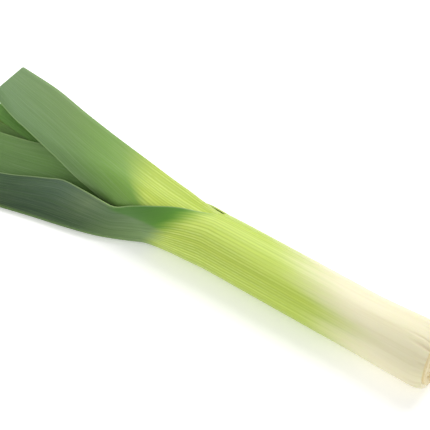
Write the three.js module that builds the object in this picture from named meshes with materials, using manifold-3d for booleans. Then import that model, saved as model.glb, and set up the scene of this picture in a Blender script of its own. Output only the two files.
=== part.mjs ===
// A trimmed leek lying on its side: six nested leaves standing on a basal plate.
// Millimetres, +Z up. The shaft lies along X with its root end at +X and its leaf tips at -X.
import * as THREE from 'three';
import { mergeVertices } from 'three/addons/utils/BufferGeometryUtils.js';
import Module from 'manifold-3d';

// Driving dimensions
const rootX = 85; // the cut root face; distances along the leek are measured back from it
const trimLength = 355.4; // all blades are trimmed straight across here
const shaftRadius = 19;
const axisHeight = 18.8; // a little less than the radius, which leaves a flat strip to rest on
const fanTilt = THREE.MathUtils.degToRad(38); // the plane the leaves fan out in, above +Y
const sheathGap = 0.3;
const sheathWall = { keel: 2.8, margin: 1.8 };
const rootSwell = { share: 0.07, full: 5, gone: 55 }; // the shaft widens a little towards its root
const rootTaper = { length: 9, narrowing: 0.15, power: 2 }; // and its end is drawn in to the plate
const rootSlant = { slope: 0.12, toward: THREE.MathUtils.degToRad(-165), gone: 25 }; // and cut askew
const innerSheathStart = 6; // leaves 2 to 6 stand on the basal plate
const outerRim = [1.2, 3.5]; // leaf 1 reaches on, round the plate
const rootRows = [innerSheathStart, rootTaper.length, 20, 32, rootSwell.gone];
const rowSpacing = 10; // the longest step between rows further along
const columnSpread = 1.15; // columns of points stand closer at the keel than at the margins
const foldShare = 0.6; // the keel fold is no wider than this share of its sheath ring
const plate = { radius: 15.4, thickness: 4.4, edge: 0.9, sides: 32 };
const stubs = { count: 64, innerRing: 3.6, outerRing: 13.6, scatter: 0.8, sides: 6, sunk: 1.2 };
const stubSpread = { shortest: 0.3, longest: 1.3, narrowest: 0.4, widest: 0.9, tip: 0.85 };

// The leaves, outermost first. A leaf is a closed sheath up to its throat, and a folded blade beyond it.
// Its section is a band round two circles: a small one at the keel fold and a large one round the
// inner leaves. Places are in fan coordinates: p along the fan, n out of it on the low, front side.
// Each station lists: distance from the root, keel p, keel n, fold radius, body p, body n, body radius,
// and, past the throat, the widths of the front and back halves of the blade from keel to margin.
const leafPlans = [
  {
    name: 'leaf_1', throat: 163, columns: 13, colour: 0xb9cf7a, blade: { keel: 2.0, margin: 0.9 },
    stations: [
      [163, -19.1, 0, 8, 0, 0, 19.1],
      [166, -19.3, 0, 8, 0, 0, 19.3, 50, 60],
      [175, -20, 0, 8, 0, 0, 19.9, 44.5, 60],
      [187, -20.6, -0.3, 8, 0, 0, 20.2, 41, 56],
      [206, -22.8, -0.8, 7, 0, 0, 20, 33.3, 46],
      [220, -27.8, 1, 6, 0, 0.5, 19.3, 28.3, 40],
      [232, -32.3, 4.2, 5, -1.5, 1.5, 17.8, 24.1, 32],
      [240, -34.9, 6.2, 4.4, -2.8, 2.4, 16, 25.8, 31.3],
      [262, -40, 10.3, 3.4, -8, 3, 12.5, 29.2, 30],
      [275, -42.5, 12.1, 3.2, -11.7, 3.5, 11, 30.8, 29],
      [290, -45.5, 14.3, 3, -16, 4.3, 9, 28.8, 28],
      [318, -51.5, 19.3, 2.6, -27, 5.5, 5.5, 26, 26],
      [trimLength, -60, 25.8, 2.5, -34, 10, 4.5, 25, 25],
    ],
  },
  {
    name: 'leaf_2', throat: 198, columns: 13, colour: 0x9fbf78, blade: { keel: 2.0, margin: 0.9 },
    stations: [
      [172, 17.6, 0, 8, 0.5, 0, 16.5],
      [185, 18.8, 0, 8, 0.5, 0, 16.5],
      [198, 20.6, 0, 8, 0.5, 0, 16.6],
      [201, 20.9, 0, 8, 0.5, 0, 16.6, 47.5, 47],
      [212, 22.2, 0, 7, 0.5, 0.4, 16.5, 47.3, 42],
      [233, 25.1, 0, 5, 0.5, 1, 16.3, 47, 38],
      [262, 28.9, -0.5, 4, 0.5, 1.5, 15.2, 44.2, 36],
      [293, 33.6, -1, 3.6, 1, 1.5, 14, 40, 35],
      [325, 39.1, -1.5, 3.6, 4, 2, 15, 39, 34],
      [trimLength, 41.5, -1.5, 3.6, 14, -0.5, 16, 33, 31],
    ],
  },
  {
    name: 'leaf_3', throat: 222, columns: 11, colour: 0x86a964, blade: { keel: 1.8, margin: 0.9 },
    stations: [
      [222, -15.2, 0, 7, 0, 0, 13.8],
      [225, -15.6, 0, 6.8, 0, 0, 13.8, 39, 39],
      [240, -19, 1, 5, 0, 0, 13.4, 35, 33],
      [262, -24, 3, 4, 0, 0.3, 12, 34.5, 30],
      [290, -28.5, 5.6, 3.2, 0, 1, 11, 34.5, 29],
      [318, -32.5, 7.2, 3, -2, 1.7, 9.5, 32, 28],
      [trimLength, -37, 9, 3, -8, 3, 8, 30, 26],
    ],
  },
  {
    name: 'leaf_4', throat: 240, columns: 10, colour: 0x7aa25a, blade: { keel: 1.8, margin: 0.9 },
    stations: [
      [240, 12.3, 0, 6, 0.5, 0, 11.2],
      [243, 12.6, 0, 5.7, 0.5, 0, 11.1, 31, 31],
      [262, 15.5, -0.5, 4, 0.5, 0, 10, 27, 25],
      [290, 20, -1.5, 3, 0.5, -0.5, 8.6, 27, 25],
      [320, 24, -2, 2.8, 1, -0.5, 7.2, 28, 25],
      [trimLength, 28, -2.5, 2.8, 2, -1, 6.5, 28, 24],
    ],
  },
  {
    name: 'leaf_5', throat: 254, columns: 8, colour: 0x8fb465, blade: { keel: 1.5, margin: 0.9 },
    stations: [
      [254, -8.9, 0, 4.5, 0, 0, 8.6],
      [257, -9.2, 0, 4.3, 0, 0, 8.4, 23.5, 23.5],
      [275, -11, 0.8, 3, 0, 0.2, 7.2, 19, 18],
      [300, -14, 1.5, 2.6, 0, 0.3, 5.6, 19.5, 17.5],
      [trimLength, -18, 2.5, 2.4, -1, 0.5, 4.4, 19, 17.5],
    ],
  },
  {
    name: 'leaf_6', throat: 266, columns: 8, colour: 0xa9c66f, blade: { keel: 1.4, margin: 0.9 },
    stations: [
      [266, 6.5, 0, 3.5, 0.5, 0, 6],
      [269, 6.7, 0, 3.3, 0.5, 0, 5.8, 16, 16],
      [290, 8.5, -0.2, 2.4, 0.3, 0, 4.6, 12.5, 12],
      [320, 10.8, -0.3, 2.2, 0.3, 0, 3.2, 13.5, 12.5],
      [trimLength, 14, -0.5, 2.2, 1, 0, 2.6, 15, 14],
    ],
  },
];
const field = { at: 0, keelP: 1, keelN: 2, fold: 3, bodyP: 4, bodyN: 5, bodyR: 6, front: 7, back: 8 };
const thinning = { before: 50, after: 10 }; // a sheath wall thins to its blade over this run
const openingRun = 30; // a sheath starts to leave its ring this far before its first station
const nearlyNothing = 1e-6;
const weldDistance = 1e-4;

// Shape-preserving cubic through points (xs, ys), which never overshoots them
function smoothValue(xs, ys, x) {
  const last = xs.length - 1;
  const at = Math.min(Math.max(x, xs[0]), xs[last]);
  let k = 0;
  while (k < last - 1 && at >= xs[k + 1]) k++;
  const secant = (i) => (ys[i + 1] - ys[i]) / (xs[i + 1] - xs[i]);
  const slope = (i) => {
    if (i === 0) return secant(0);
    if (i === last) return secant(last - 1);
    const [d0, d1] = [secant(i - 1), secant(i)];
    if (d0 * d1 <= 0) return 0;
    const [h0, h1] = [xs[i] - xs[i - 1], xs[i + 1] - xs[i]];
    return (3 * (h0 + h1)) / ((2 * h1 + h0) / d0 + (h1 + 2 * h0) / d1);
  };
  const h = xs[k + 1] - xs[k];
  const t = (at - xs[k]) / h;
  const [t2, t3] = [t * t, t * t * t];
  return (2 * t3 - 3 * t2 + 1) * ys[k] + (t3 - 2 * t2 + t) * h * slope(k)
    + (3 * t2 - 2 * t3) * ys[k + 1] + (t3 - t2) * h * slope(k + 1);
}

// Nested sheath rings: each leaf's ring fills the one outside it, thicker on its keel side
function sheathRings(count) {
  const rings = [];
  let [radius, centre] = [shaftRadius, 0];
  for (let i = 0; i < count; i++) {
    const side = i % 2 === 0 ? -1 : 1; // leaves alternate, keel low and near, then high and far
    rings.push({ radius, centre, side });
    const keelStep = sheathWall.keel + sheathGap;
    const marginStep = sheathWall.margin + sheathGap;
    const low = centre - radius + (side < 0 ? keelStep : marginStep);
    const high = centre + radius - (side < 0 ? marginStep : keelStep);
    radius = (high - low) / 2;
    centre = (high + low) / 2;
  }
  return rings;
}

// Adds the straight sheath to a leaf's plan, so that its stations run from the root to the trim
function growLeaf(plan, ring) {
  const keel = ring.centre + ring.side * ring.radius;
  const firstOpen = plan.stations[0][field.at];
  const fold = Math.min(plan.stations[0][field.fold], ring.radius * foldShare);
  const sheath = [0, firstOpen - openingRun].map((at) => [at, keel, 0, fold, ring.centre, 0, ring.radius]);
  return { ...plan, ring, stations: [...sheath, ...plan.stations] };
}

// The two circles of a leaf's section at a station, and the lengths of the outline's pieces
function sectionAt(leaf, s) {
  const xs = leaf.stations.map((row) => row[field.at]);
  const value = (name) => smoothValue(xs, leaf.stations.map((row) => row[field[name]]), s);
  const keel = new THREE.Vector2(value('keelP'), value('keelN'));
  const body = new THREE.Vector2(value('bodyP'), value('bodyN'));
  const [fold, radius] = [value('fold'), value('bodyR')];
  const inward = body.clone().sub(keel).normalize();
  const foldCentre = keel.clone().addScaledVector(inward, fold);
  const reach = body.clone().sub(foldCentre).dot(inward);
  const ratio = (radius - fold) / Math.max(reach, nearlyNothing);
  if (ratio >= 1) foldCentre.copy(body).addScaledVector(inward, fold - radius);
  const turn = Math.acos(THREE.MathUtils.clamp(ratio, -1, 1));
  const flat = Math.sqrt(Math.max(reach * reach - (radius - fold) ** 2, 0));
  const half = fold * turn + flat + radius * (Math.PI - turn);
  return { foldCentre, body, fold, radius, inward, turn, flat, half };
}

// A point on the outline at a length from the keel, and the outward direction there
function outlinePoint(section, sense, length) {
  const { foldCentre, body, fold, radius, inward, turn, flat } = section;
  const outward = (angle) => inward.clone().negate().rotateAround(new THREE.Vector2(), sense * angle);
  if (length < fold * turn) {
    const normal = outward(length / fold);
    return [foldCentre.clone().addScaledVector(normal, fold), normal];
  }
  const normal = outward(turn);
  const along = length - fold * turn;
  if (along < flat) {
    const tangent = new THREE.Vector2(-normal.y, normal.x).multiplyScalar(sense);
    const start = foldCentre.clone().addScaledVector(normal, fold);
    return [start.addScaledVector(tangent, along), normal];
  }
  const round = outward(turn + (along - flat) / radius);
  return [body.clone().addScaledVector(round, radius), round];
}

// Wall thickness: sheath to blade along the leaf, and keel to margin across it
function wallAt(leaf, s, across) {
  const ramp = (s - leaf.throat + thinning.before) / (thinning.before + thinning.after);
  const bladed = THREE.MathUtils.smoothstep(ramp, 0, 1);
  const keel = THREE.MathUtils.lerp(sheathWall.keel, leaf.blade.keel, bladed);
  const margin = THREE.MathUtils.lerp(sheathWall.margin, leaf.blade.margin, bladed);
  return margin + ((keel - margin) * (1 + Math.cos(Math.PI * across))) / 2;
}

function halfWidth(leaf, s, section, name) {
  if (s <= leaf.throat) return section.half;
  const open = leaf.stations.filter((row) => row[field.at] > leaf.throat);
  const xs = [leaf.throat, ...open.map((row) => row[field.at])];
  const closed = sectionAt(leaf, leaf.throat).half;
  return Math.min(smoothValue(xs, [closed, ...open.map((row) => row[field[name]])], s), section.half);
}

// How far the slanting cut carries a point along the leek, for its place across it
function slantAt(y, z) {
  return rootSlant.slope * (y * Math.cos(rootSlant.toward) + (z - axisHeight) * Math.sin(rootSlant.toward));
}

// Fan coordinates to the leek's frame. The end is drawn in about the shaft's axis, and the swelling
// grows up from the surface that the leek lies on, which nothing reaches below.
function place(s, point) {
  const taper = THREE.MathUtils.clamp(1 - s / rootTaper.length, 0, 1) ** rootTaper.power;
  const shrink = 1 - rootTaper.narrowing * taper;
  const grow = 1 + rootSwell.share * (1 - THREE.MathUtils.smoothstep(s, rootSwell.full, rootSwell.gone));
  const y = grow * shrink * (point.x * Math.cos(fanTilt) - point.y * Math.sin(fanTilt));
  const z = grow * (axisHeight + shrink * (point.x * Math.sin(fanTilt) + point.y * Math.cos(fanTilt)));
  const carried = slantAt(y, z) * (1 - THREE.MathUtils.smoothstep(s, 0, rootSlant.gone));
  return [rootX - s + carried, y, Math.max(z, 0)];
}

// One row of points across a leaf, from the back margin over the keel to the front margin
function leafRow(leaf, s) {
  const section = sectionAt(leaf, s);
  const outer = [];
  const inner = [];
  for (let i = -leaf.columns; i <= leaf.columns; i++) {
    const across = Math.abs(i / leaf.columns) ** columnSpread;
    const width = halfWidth(leaf, s, section, i < 0 ? 'back' : 'front');
    const sense = leaf.ring.side * Math.sign(i || 1);
    const [point, normal] = outlinePoint(section, sense, width * across);
    const wall = wallAt(leaf, s, across);
    outer.push(place(s, point));
    inner.push(place(s, point.clone().addScaledVector(normal, -wall)));
  }
  return { s, outer, inner, closed: s <= leaf.throat };
}

// Distances of the rows: the root's own, then every station with even steps between
function rowDistances(leaf) {
  const rows = leaf.ring.radius === shaftRadius ? [...outerRim, ...rootRows] : [...rootRows];
  const sheathEnd = leaf.stations[1][field.at];
  for (const [station] of leaf.stations.slice(1)) {
    const last = rows.at(-1);
    const steps = station > sheathEnd ? Math.ceil((station - last) / rowSpacing) : 1;
    for (let k = 1; k <= steps; k++) rows.push(last + ((station - last) * k) / steps);
  }
  return rows;
}

// A leaf as one closed shell: outer face, inner face, rims and, past the throat, its two margins
function leafGeometry(leaf) {
  const rows = rowDistances(leaf).map((s) => leafRow(leaf, s));
  const points = [];
  for (const row of rows) {
    row.index = {};
    for (const face of ['outer', 'inner']) {
      const own = row.closed ? row[face].slice(0, -1) : row[face]; // a ring's last point is its first
      row.index[face] = own.map((point) => points.push(point) - 1);
      if (row.closed) row.index[face].push(row.index[face][0]);
    }
  }
  const faces = [];
  // both faces of the blade are split along the same corners, a and c
  const addQuad = (turned, a, b, c, d) => {
    if (turned) faces.push([c, b, a], [d, c, a]);
    else faces.push([a, b, c], [a, c, d]);
  };
  const turned = leaf.ring.side > 0;
  for (let k = 0; k + 1 < rows.length; k++) {
    const [near, far] = [rows[k].index, rows[k + 1].index];
    const last = near.outer.length - 1;
    for (let i = 0; i < last; i++) {
      addQuad(turned, near.outer[i], near.outer[i + 1], far.outer[i + 1], far.outer[i]);
      addQuad(!turned, near.inner[i], near.inner[i + 1], far.inner[i + 1], far.inner[i]);
    }
    if (rows[k + 1].closed) continue;
    addQuad(turned, near.outer[0], far.outer[0], far.inner[0], near.inner[0]);
    addQuad(!turned, near.outer[last], far.outer[last], far.inner[last], near.inner[last]);
  }
  for (const [row, isFar] of [[rows[0], false], [rows.at(-1), true]]) {
    const { outer, inner } = row.index;
    for (let i = 0; i + 1 < outer.length; i++) {
      addQuad(turned !== isFar, outer[i], inner[i], inner[i + 1], outer[i + 1]);
    }
  }
  const geometry = new THREE.BufferGeometry();
  geometry.setAttribute('position', new THREE.Float32BufferAttribute(points.flat(), 3));
  geometry.setIndex(faces.filter(([a, b, c]) => a !== b && b !== c && a !== c).flat());
  return geometry;
}

// Same draws each time, between 0 and 1, from a linear congruential generator
function seededDraws(seed) {
  const [multiplier, increment, modulus] = [1664525, 1013904223, 2 ** 32];
  let state = seed;
  return () => {
    state = (state * multiplier + increment) % modulus;
    return state / modulus;
  };
}

function asSolid(wasm, geometry) {
  const bare = geometry.clone();
  bare.deleteAttribute('normal');
  bare.deleteAttribute('uv');
  const merged = mergeVertices(bare, weldDistance);
  const vertProperties = merged.attributes.position.array;
  return new wasm.Manifold(new wasm.Mesh({ numProp: 3, vertProperties, triVerts: merged.index.array }));
}

function asGeometry(solid) {
  const mesh = solid.getMesh();
  const geometry = new THREE.BufferGeometry();
  geometry.setAttribute('position', new THREE.BufferAttribute(new Float32Array(mesh.vertProperties), 3));
  geometry.setIndex(new THREE.BufferAttribute(new Uint32Array(mesh.triVerts), 1));
  return geometry;
}

// The basal plate: the short woody stem disc, with its roots cropped to stubs all over its face
function plateGeometry(wasm) {
  const { radius, thickness, edge, sides } = plate;
  const profile = [
    [0, 0], [radius - 2 * edge, 0], [radius - edge / 2, edge / 2], [radius, edge * 1.5],
    [radius, thickness - edge], [radius - edge, thickness], [0, thickness],
  ].map(([x, y]) => new THREE.Vector2(x, y));
  let solid = asSolid(wasm, new THREE.LatheGeometry(profile, sides));
  const draw = seededDraws(7);
  const goldenTurn = Math.PI * (3 - Math.sqrt(5));
  for (let i = 0; i < stubs.count; i++) {
    const share = (i + 0.5) / stubs.count;
    const evenRing = Math.sqrt(THREE.MathUtils.lerp(stubs.innerRing ** 2, stubs.outerRing ** 2, share));
    const ring = evenRing + THREE.MathUtils.lerp(-stubs.scatter, stubs.scatter / 2, draw());
    const turn = i * goldenTurn + THREE.MathUtils.lerp(-stubs.scatter, stubs.scatter, draw()) / ring;
    const length = THREE.MathUtils.lerp(stubSpread.shortest, stubSpread.longest, draw());
    const width = THREE.MathUtils.lerp(stubSpread.narrowest, stubSpread.widest, draw());
    const stub = new THREE.CylinderGeometry(width, width * stubSpread.tip, length + stubs.sunk, stubs.sides);
    stub.rotateY(draw() * Math.PI);
    stub.translate(ring * Math.cos(turn), (stubs.sunk - length) / 2, ring * Math.sin(turn));
    solid = solid.add(asSolid(wasm, stub));
  }
  const geometry = asGeometry(solid);
  geometry.rotateZ(Math.PI / 2); // the plate's axis onto -X, into the shaft
  const cut = new THREE.Vector3(1, -slantAt(1, axisHeight), -slantAt(0, axisHeight + 1)).normalize();
  const slant = new THREE.Quaternion().setFromUnitVectors(new THREE.Vector3(1, 0, 0), cut);
  return geometry.applyQuaternion(slant);
}

const wasm = await Module();
wasm.setup();

const group = new THREE.Group();
const rings = sheathRings(leafPlans.length);
leafPlans.forEach((plan, i) => {
  const leaf = growLeaf(plan, rings[i]);
  const material = new THREE.MeshStandardMaterial({ color: plan.colour, roughness: 0.45, metalness: 0 });
  const mesh = new THREE.Mesh(leafGeometry(leaf), material);
  mesh.name = plan.name;
  group.add(mesh);
});

const plateMaterial = new THREE.MeshStandardMaterial({ color: 0xc8b27c, roughness: 0.75, metalness: 0 });
const basalPlate = new THREE.Mesh(plateGeometry(wasm), plateMaterial);
basalPlate.name = 'basal_plate';
basalPlate.position.set(...place(0, new THREE.Vector2(rings[1].centre, 0))); // within leaf 1
group.add(basalPlate);

export default group;
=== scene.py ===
import math
import random

import bpy
import numpy as np
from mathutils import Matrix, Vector, noise


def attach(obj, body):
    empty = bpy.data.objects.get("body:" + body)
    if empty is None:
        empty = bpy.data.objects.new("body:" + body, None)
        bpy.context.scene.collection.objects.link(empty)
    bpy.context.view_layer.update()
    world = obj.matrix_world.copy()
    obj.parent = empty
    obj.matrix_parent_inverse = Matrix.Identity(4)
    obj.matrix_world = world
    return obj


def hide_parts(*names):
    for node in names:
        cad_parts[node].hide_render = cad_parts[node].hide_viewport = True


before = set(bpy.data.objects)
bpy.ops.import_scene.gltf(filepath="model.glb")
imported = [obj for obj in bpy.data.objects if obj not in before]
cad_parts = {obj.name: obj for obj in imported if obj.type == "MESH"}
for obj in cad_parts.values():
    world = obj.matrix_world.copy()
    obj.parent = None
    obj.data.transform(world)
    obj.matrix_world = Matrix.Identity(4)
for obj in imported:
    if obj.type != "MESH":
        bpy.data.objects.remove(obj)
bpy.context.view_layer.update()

mm = 0.001
print("frame loaded:", ", ".join(sorted(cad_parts)))

# The whole leek in millimetres, with the solid model's own values
leek = {
    "rootX": 85,            # the cut root face; distances along the leek are measured back from it
    "trim": 355.4,          # the blades are cut straight across here
    "axisHeight": 18.8,
    "fanTilt": 38,          # degrees that the fan of leaves leans up from +Y
    "shaftRadius": 19,
    "sheathGap": 0.3,
    "keelWall": 2.8,
    "marginWall": 1.8,
    "bladeMargin": 0.9,     # a blade's wall at its margins; its keel's is each leaf's own
    "foldShare": 0.6,       # a fold starts no rounder than this share of its ring
    "openingRun": 30,       # a sheath starts to leave its ring this far before its first station
    "thinBefore": 50,       # a sheath wall thins to its blade from here before the throat
    "thinAfter": 10,        # to here past it
    "swellShare": 0.07,     # the shaft widens a little towards its root
    "swellFull": 5,
    "swellGone": 55,
    "taperRun": 9,          # and its end is drawn in to the plate
    "taperShare": 0.15,
    "taperPower": 2,
    "slantSlope": 0.12,     # the root was cut a little askew, its low side reaching on
    "slantToward": -165,    # degrees about the shaft
    "slantGone": 25,
    "floorGap": 0.02,       # nothing reaches lower
    "seamGap": 0.02,        # the two edges of a closed sheath are merged within this
    "smoothBelow": 50,      # degrees: sharper edges stay sharp
    "seed": 40,             # the first leaf's draws, the next leaf's one higher
}


def linearColor(text):
    # sRGB hex to the linear color that a shader socket wants
    parts = [int(text[i:i + 2], 16) / 255 for i in (0, 2, 4)]
    return [c / 12.92 if c <= 0.04045 else ((c + 0.055) / 1.055) ** 2.4 for c in parts] + [1.0]


def setNode(node, settings):
    # a node's properties by name, and its inputs by name or number: a hex text is a color, and another
    # node's output is linked
    for name, value in settings.items():
        if isinstance(name, str) and hasattr(node, name):
            setattr(node, name, value)
        elif isinstance(value, bpy.types.NodeSocket):
            node.id_data.links.new(value, node.inputs[name])
        else:
            node.inputs[name].default_value = linearColor(value) if isinstance(value, str) else value


def addNode(tree, kind, settings, output=0):
    # adds a shader node with its settings and links, and gives back one of its outputs
    node = tree.nodes.new("ShaderNode" + kind)
    setNode(node, settings)
    return node.outputs[output]


def startMaterial(name):
    material = bpy.data.materials.new(name)
    material.use_nodes = True
    return material, material.node_tree, material.node_tree.nodes["Principled BSDF"]


view = {
    "turn": 37.4,               # degrees about Z
    "lift": 45,                 # degrees above the floor
    "distance": 1000,
    "target": (-104.35, 33.34, 0),
    "lens": 126.0,
    "clipEnd": 20,              # metres
}
studio = {
    "floorSize": 8,             # metres, as all places and sizes here
    "floorColor": "FAFAF8",
    "floorRoughness": 0.9,
    "floorSpecular": 0.2,
    "floorGlow": 0.3,           # a lit sweep: it keeps the paper white where the light falls off
    "worldColor": "FFFFFF",
    "worldStrength": 0.5,
    "aim": (-0.1, 0, 0),        # the point that both lights face
    "keySize": 1.5,
    "keyPlace": (-0.25, 0.95, 1.35),
    "keyPower": 20.5,
    "fillSize": 2.2,
    "fillPlace": (0.6, -1.3, 1.5),
    "fillPower": 8,
}


def placeCamera():
    turn, lift = math.radians(view["turn"]), math.radians(view["lift"])
    away = Vector((math.sin(turn) * math.cos(lift), -math.cos(turn) * math.cos(lift), math.sin(lift)))
    place = (Vector(view["target"]) + away * view["distance"]) * mm
    bpy.ops.object.camera_add(location=place, rotation=(math.pi / 2 - lift, 0, turn))
    camera = bpy.context.object
    camera.data.lens = view["lens"]
    camera.data.clip_end = view["clipEnd"]
    bpy.context.scene.camera = camera


def addLight(name, place, size, power):
    bpy.ops.object.light_add(type='AREA', location=place)
    light = bpy.context.object
    light.name = name
    light.data.shape = 'DISK'
    light.data.size = size
    light.data.energy = power
    toAim = Vector(studio["aim"]) - Vector(place)
    light.rotation_euler = toAim.to_track_quat('-Z', 'Y').to_euler()


def buildStudio():
    bpy.ops.mesh.primitive_plane_add(size=studio["floorSize"], location=(0, 0, 0))
    floor = bpy.context.object
    floor.name = "floor"
    paper, _, shader = startMaterial("white_paper_sweep")  # matt coated paper
    setNode(shader, {
        "Base Color": studio["floorColor"], "Roughness": studio["floorRoughness"],
        "Specular IOR Level": studio["floorSpecular"], "Emission Color": studio["worldColor"],
        "Emission Strength": studio["floorGlow"]})
    floor.data.materials.append(paper)
    world = bpy.data.worlds.new("pale_room")
    world.use_nodes = True
    setNode(world.node_tree.nodes["Background"], {
        "Color": studio["worldColor"], "Strength": studio["worldStrength"]})
    bpy.context.scene.world = world
    addLight("key_softbox", studio["keyPlace"], studio["keySize"], studio["keyPower"])
    addLight("fill_softbox", studio["fillPlace"], studio["fillSize"], studio["fillPower"])


bpy.context.scene.view_settings.view_transform = 'Standard'  # plain sRGB, so paper white stays white
placeCamera()
buildStudio()
print("camera, floor and lights placed")

# Stations: distance from the root, keel p, keel n, fold radius, body p, body n, body radius and, past
# the throat, the widths of the front and back halves. p runs along the fan, n out of it to the front.
leaves = {
    "leaf_1": {
        "throat": 163, "bladeKeel": 2.0, "start": 1.2, "rows": 118, "columns": 392,
        "slot": "leaf_outer",
        "stations": [
            (163, -19.1, 0, 8, 0, 0, 19.1),
            (166, -19.3, 0, 8, 0, 0, 19.3, 50, 60),
            (175, -20, 0, 8, 0, 0, 19.9, 44.5, 60),
            (187, -20.6, -0.3, 8, 0, 0, 20.2, 41, 56),
            (206, -22.8, -0.8, 7, 0, 0, 20, 33.3, 46),
            (220, -27.8, 1, 6, 0, 0.5, 19.3, 28.3, 40),
            (232, -32.3, 4.2, 5, -1.5, 1.5, 17.8, 24.1, 32),
            (240, -34.9, 6.2, 4.4, -2.8, 2.4, 16, 25.8, 31.3),
            (262, -40, 10.3, 3.4, -8, 3, 12.5, 29.2, 30),
            (275, -42.5, 12.1, 3.2, -11.7, 3.5, 11, 30.8, 29),
            (290, -45.5, 14.3, 3, -16, 4.3, 9, 28.8, 28),
            (318, -51.5, 19.3, 2.6, -27, 5.5, 5.5, 26, 26),
            (leek["trim"], -60, 25.8, 2.5, -34, 10, 4.5, 25, 25),
        ],
    },
    "leaf_2": {
        "throat": 198, "bladeKeel": 2.0, "start": 6, "rows": 118, "columns": 344,
        "slot": "leaf_outer",
        "stations": [
            (172, 17.6, 0, 8, 0.5, 0, 16.5),
            (185, 18.8, 0, 8, 0.5, 0, 16.5),
            (198, 20.6, 0, 8, 0.5, 0, 16.6),
            (201, 20.9, 0, 8, 0.5, 0, 16.6, 47.5, 47),
            (212, 22.2, 0, 7, 0.5, 0.4, 16.5, 47.3, 42),
            (233, 25.1, 0, 5, 0.5, 1, 16.3, 47, 38),
            (262, 28.9, -0.5, 4, 0.5, 1.5, 15.2, 44.2, 36),
            (293, 33.6, -1, 3.6, 1, 1.5, 14, 40, 35),
            (325, 39.1, -1.5, 3.6, 4, 2, 15, 39, 34),
            (leek["trim"], 41.5, -1.5, 3.6, 14, -0.5, 16, 33, 31),
        ],
    },
    "leaf_3": {
        "throat": 222, "bladeKeel": 1.8, "start": 6, "rows": 120, "columns": 192,
        "slot": "leaf_inner",
        "stations": [
            (222, -15.2, 0, 7, 0, 0, 13.8),
            (225, -15.6, 0, 6.8, 0, 0, 13.8, 39, 39),
            (240, -19, 1, 5, 0, 0, 13.4, 35, 33),
            (262, -24, 3, 4, 0, 0.3, 12, 34.5, 30),
            (290, -28.5, 5.6, 3.2, 0, 1, 11, 34.5, 29),
            (318, -32.5, 7.2, 3, -2, 1.7, 9.5, 32, 28),
            (leek["trim"], -37, 9, 3, -8, 3, 8, 30, 26),
        ],
    },
    "leaf_4": {
        "throat": 240, "bladeKeel": 1.8, "start": 6, "rows": 110, "columns": 160,
        "slot": "leaf_inner",
        "stations": [
            (240, 12.3, 0, 6, 0.5, 0, 11.2),
            (243, 12.6, 0, 5.7, 0.5, 0, 11.1, 31, 31),
            (262, 15.5, -0.5, 4, 0.5, 0, 10, 27, 25),
            (290, 20, -1.5, 3, 0.5, -0.5, 8.6, 27, 25),
            (320, 24, -2, 2.8, 1, -0.5, 7.2, 28, 25),
            (leek["trim"], 28, -2.5, 2.8, 2, -1, 6.5, 28, 24),
        ],
    },
    "leaf_5": {
        "throat": 254, "bladeKeel": 1.5, "start": 6, "rows": 100, "columns": 120,
        "slot": "leaf_inner",
        "stations": [
            (254, -8.9, 0, 4.5, 0, 0, 8.6),
            (257, -9.2, 0, 4.3, 0, 0, 8.4, 23.5, 23.5),
            (275, -11, 0.8, 3, 0, 0.2, 7.2, 19, 18),
            (300, -14, 1.5, 2.6, 0, 0.3, 5.6, 19.5, 17.5),
            (leek["trim"], -18, 2.5, 2.4, -1, 0.5, 4.4, 19, 17.5),
        ],
    },
    "leaf_6": {
        "throat": 266, "bladeKeel": 1.4, "start": 6, "rows": 90, "columns": 96,
        "slot": "leaf_inner",
        "stations": [
            (266, 6.5, 0, 3.5, 0.5, 0, 6),
            (269, 6.7, 0, 3.3, 0.5, 0, 5.8, 16, 16),
            (290, 8.5, -0.2, 2.4, 0.3, 0, 4.6, 12.5, 12),
            (320, 10.8, -0.3, 2.2, 0.3, 0, 3.2, 13.5, 12.5),
            (leek["trim"], 14, -0.5, 2.2, 1, 0, 2.6, 15, 14),
        ],
    },
}
relief = {
    "ribSpacing": 1.9,      # between veins on the shaft; the blade's stand closer as it narrows
    "sheathRib": 0.06,      # how far a vein stands out
    "bladeRib": 0.03,
    "bladeRibFrom": 20,     # it goes from the one to the other from here before the throat
    "bladeRibFull": 30,     # to here past it
    "rootRib": 0.2,         # towards the root a vein stands out less, down to this share
    "rootRibRun": (20, 120),
    "marginRib": 8,         # and it fades out this near an open margin
    "ribStrengths": 120,    # veins differ in strength by as many seeded draws
    "ribStrength": (0.3, 1),
    "veinSway": 0.45,       # veins stand closer and wider apart in turn, by this share of their spacing
    "veinSwayTurns": 5,
    "veinBlend": 55,        # past the throat the veins turn in with the narrowing blade over this length
    "unevenness": 0.2,      # long slow waviness of the shaft
    "waveTurns": (2, 3, 5, 7),
    "waveDrift": 0.02,
    "waveGone": 40,         # it dies out over this length before the throat
    "creases": 34,          # where the outer sheath draws in to the plate
    "creaseScatter": 0.4,
    "creaseDepth": (0.1, 0.42),
    "creaseWidth": (0.6, 1.2),
    "creaseRun": (10, 30),
    "creasePower": 1.3,
    "curlRun": (231, 242, 252, 290),    # the outer leaf's front margin turns out past its kink
    "curlHeight": 1.6,
    "curlAcross": (0.45, 1),
    "hugRun": (148, 178, 193, 225),     # where it opens, its margins lie close on the next leaf
    "hugDepth": 0.65,
    "hugAcross": (0.3, 0.8),
}


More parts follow.
